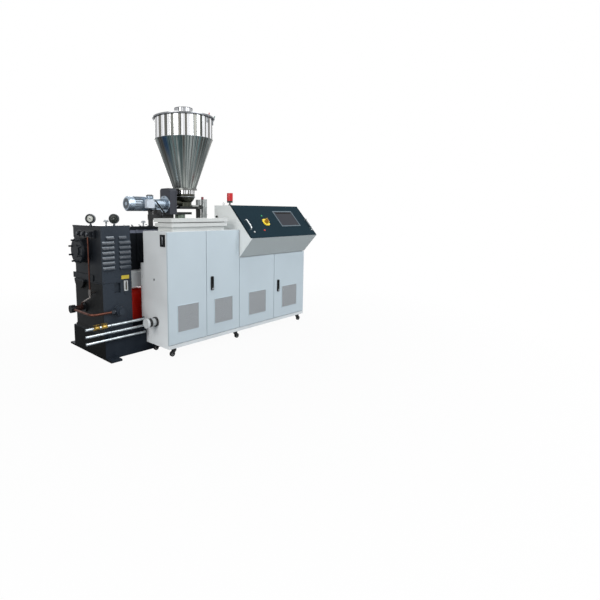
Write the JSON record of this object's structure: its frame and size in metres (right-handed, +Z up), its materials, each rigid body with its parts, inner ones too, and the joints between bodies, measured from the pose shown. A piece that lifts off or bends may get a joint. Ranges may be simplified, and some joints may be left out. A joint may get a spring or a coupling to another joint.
{
  "type": "plastic extruder",
  "caption": "Conical-screw plastic extruder with gearbox, hopper feeder, hinged-door control cabinet and sloping console on castors.",
  "frame": {"origin": "on the floor at the centre of the four anchor holes of the base, under the feed axis", "axes": "+X along the screws towards the die, +Y away from the operator, +Z up"},
  "size_m": [2.952, 1.436, 2.712],
  "materials": {
    "cabinet_paint": "satin",
    "panel_paint": "satin",
    "desk_paint": "satin",
    "machine_paint": "satin",
    "base_paint": "satin",
    "guard_paint": "satin",
    "cooler_paint": "satin",
    "stainless": "polished",
    "galvanised": "satin",
    "motor_silver": "satin",
    "black_steel": "satin",
    "copper": "satin",
    "brass": "satin",
    "chrome": "polished",
    "dial": "satin",
    "black_plastic": "matte",
    "screen": "gloss",
    "lamp_red": "gloss",
    "switch_red": "gloss",
    "wheel_rubber": "matte"
  },
  "bodies": {
    "extruder": {"base_frame": "base_paint", "gearbox_lower": "machine_paint", "gearbox_upper": "machine_paint", "gearbox_guard": "machine_paint", "end_cover": "machine_paint", "distribution_box": "machine_paint", "main_motor": "machine_paint", "coupling_guard": "guard_paint", "oil_cooler": "cooler_paint", "oil_manifold": "black_steel", "oil_pump": "black_steel", "copper_pipes": "copper", "gauges": "dial", "breathers": "chrome", "water_pipes": "galvanised", "valve_bodies": "brass", "barrel": "black_steel", "barrel_cover": "cabinet_paint", "barrel_stand": "machine_paint", "feed_stub": "stainless", "feeder_frame": "black_steel", "feeder_housing": "stainless", "chain_guard": "machine_paint", "feeder_motor": "motor_silver", "vacuum_pot": "stainless", "hopper_shell": "stainless", "hopper_lid": "stainless", "cabinet_left_side": "panel_paint", "cabinet_divider": "panel_paint", "cabinet_right_side": "panel_paint", "cabinet_back": "panel_paint", "cabinet_floor": "cabinet_paint", "cabinet_tops": "panel_paint", "roof_vent": "panel_paint", "side_coupler": "galvanised", "console_body": "panel_paint", "beacon": "lamp_red"},
    "lid": {"console_lid": "desk_paint", "touch_screen": "screen", "lid_fittings": "chrome"},
    "main_switch": {"switch_knob": "switch_red"},
    "door_1": {"door_1": "cabinet_paint"},
    "door_2": {"door_2": "cabinet_paint"},
    "door_3": {"door_3": "cabinet_paint"},
    "door_4": {"door_4": "cabinet_paint"},
    "lever_1": {"valve_lever_1": "brass"},
    "lever_2": {"valve_lever_2": "brass"},
    "castor_1": {"castor_1_fork": "black_steel"},
    "wheel_1": {"castor_1_wheel": "wheel_rubber"},
    "castor_2": {"castor_2_fork": "black_steel"},
    "wheel_2": {"castor_2_wheel": "wheel_rubber"},
    "castor_3": {"castor_3_fork": "black_steel"},
    "wheel_3": {"castor_3_wheel": "wheel_rubber"},
    "castor_4": {"castor_4_fork": "black_steel"},
    "wheel_4": {"castor_4_wheel": "wheel_rubber"},
    "castor_5": {"castor_5_fork": "black_steel"},
    "wheel_5": {"castor_5_wheel": "wheel_rubber"},
    "castor_6": {"castor_6_fork": "black_steel"},
    "wheel_6": {"castor_6_wheel": "wheel_rubber"}
  },
  "joints": [
    {"name": "door_1_hinge", "type": "hinge", "parent": "extruder", "child": "door_1", "pos_m": [-0.824, -0.77, 0.71], "axis": [0, 0, -1], "range_deg": [0, 110]},
    {"name": "door_2_hinge", "type": "hinge", "parent": "extruder", "child": "door_2", "pos_m": [0.177, -0.77, 0.71], "axis": [0, 0, 1], "range_deg": [0, 85]},
    {"name": "door_3_hinge", "type": "hinge", "parent": "extruder", "child": "door_3", "pos_m": [0.183, -0.77, 0.55], "axis": [0, 0, -1], "range_deg": [0, 85]},
    {"name": "door_4_hinge", "type": "hinge", "parent": "extruder", "child": "door_4", "pos_m": [1.43, -0.77, 0.55], "axis": [0, 0, 1], "range_deg": [0, 110]},
    {"name": "lid_hinge", "type": "hinge", "parent": "extruder", "child": "lid", "pos_m": [0.807, -0.607, 1.562], "axis": [-1, 0, 0], "range_deg": [0, 70]},
    {"name": "switch_turn", "type": "hinge", "parent": "lid", "child": "main_switch", "pos_m": [0.601, -0.80926, 1.36843], "axis": [0, -0.7413, 0.6712], "range_deg": [0, 90]},
    {"name": "lever_1_turn", "type": "hinge", "parent": "extruder", "child": "lever_1", "pos_m": [-1.413, -0.406, 0.398], "axis": [0, 0, 1], "range_deg": [0, 90]},
    {"name": "lever_2_turn", "type": "hinge", "parent": "extruder", "child": "lever_2", "pos_m": [-1.332, -0.406, 0.398], "axis": [0, 0, 1], "range_deg": [0, 90]},
    {"name": "castor_1_swivel", "type": "hinge", "parent": "extruder", "child": "castor_1", "pos_m": [-0.725, -0.712, 0.08], "axis": [0, 0, 1], "continuous": true},
    {"name": "wheel_1_roll", "type": "hinge", "parent": "castor_1", "child": "wheel_1", "pos_m": [-0.747, -0.712, 0.028], "axis": [0, 1, 0], "continuous": true},
    {"name": "castor_2_swivel", "type": "hinge", "parent": "extruder", "child": "castor_2", "pos_m": [0.17, -0.712, 0.08], "axis": [0, 0, 1], "continuous": true},
    {"name": "wheel_2_roll", "type": "hinge", "parent": "castor_2", "child": "wheel_2", "pos_m": [0.192, -0.712, 0.028], "axis": [0, 1, 0], "continuous": true},
    {"name": "castor_3_swivel", "type": "hinge", "parent": "extruder", "child": "castor_3", "pos_m": [1.376, -0.712, 0.08], "axis": [0, 0, 1], "continuous": true},
    {"name": "wheel_3_roll", "type": "hinge", "parent": "castor_3", "child": "wheel_3", "pos_m": [1.398, -0.712, 0.028], "axis": [0, 1, 0], "continuous": true},
    {"name": "castor_4_swivel", "type": "hinge", "parent": "extruder", "child": "castor_4", "pos_m": [-0.725, -0.42, 0.08], "axis": [0, 0, 1], "continuous": true},
    {"name": "wheel_4_roll", "type": "hinge", "parent": "castor_4", "child": "wheel_4", "pos_m": [-0.747, -0.42, 0.028], "axis": [0, 1, 0], "continuous": true},
    {"name": "castor_5_swivel", "type": "hinge", "parent": "extruder", "child": "castor_5", "pos_m": [0.17, -0.42, 0.08], "axis": [0, 0, 1], "continuous": true},
    {"name": "wheel_5_roll", "type": "hinge", "parent": "castor_5", "child": "wheel_5", "pos_m": [0.192, -0.42, 0.028], "axis": [0, 1, 0], "continuous": true},
    {"name": "castor_6_swivel", "type": "hinge", "parent": "extruder", "child": "castor_6", "pos_m": [1.376, -0.42, 0.08], "axis": [0, 0, 1], "continuous": true},
    {"name": "wheel_6_roll", "type": "hinge", "parent": "castor_6", "child": "wheel_6", "pos_m": [1.398, -0.42, 0.028], "axis": [0, 1, 0], "continuous": true}
  ]
}
